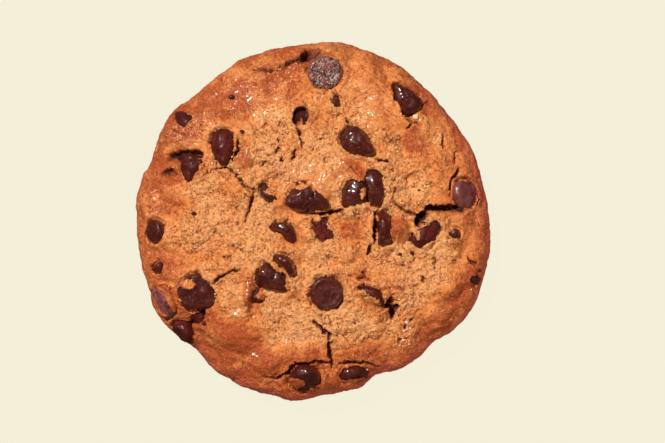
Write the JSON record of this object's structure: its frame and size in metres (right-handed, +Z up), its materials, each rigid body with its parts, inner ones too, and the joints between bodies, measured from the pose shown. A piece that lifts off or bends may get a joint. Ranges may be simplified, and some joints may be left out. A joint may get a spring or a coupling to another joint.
{
  "type": "chocolate chip cookie",
  "caption": "Round thick baked cookie with a lumpy cracked crust, a rolled edge, a flat base and dark chocolate chips set in its top.",
  "frame": {"origin": "middle of the flat base, on the surface that the cookie lies on", "axes": "+Z up through the cookie's thickness; +X and +Y are the right and the far side as seen from above"},
  "size_m": [0.0888, 0.09, 0.0178],
  "materials": {
    "baked_dough": "matt golden brown baked crust with a faint buttery sheen",
    "dark_chocolate": "dark chocolate, smooth and half glossy"
  },
  "bodies": {
    "root": {"dough": "baked_dough", "chip_01": "dark_chocolate", "chip_02": "dark_chocolate", "chip_03": "dark_chocolate", "chip_04": "dark_chocolate", "chip_05": "dark_chocolate", "chip_06": "dark_chocolate", "chip_07": "dark_chocolate", "chip_08": "dark_chocolate", "chip_09": "dark_chocolate", "chip_10": "dark_chocolate", "chip_11": "dark_chocolate", "chip_12": "dark_chocolate", "chip_13": "dark_chocolate", "chip_14": "dark_chocolate", "chip_15": "dark_chocolate", "chip_16": "dark_chocolate", "chip_17": "dark_chocolate", "chip_18": "dark_chocolate", "chip_19": "dark_chocolate", "chip_20": "dark_chocolate", "chip_21": "dark_chocolate", "chip_22": "dark_chocolate", "chip_23": "dark_chocolate", "chip_24": "dark_chocolate", "chip_25": "dark_chocolate", "chip_26": "dark_chocolate", "chip_27": "dark_chocolate", "chip_28": "dark_chocolate", "chip_29": "dark_chocolate", "chip_30": "dark_chocolate", "chip_31": "dark_chocolate", "chip_32": "dark_chocolate", "chip_33": "dark_chocolate"}
  },
  "joints": []
}
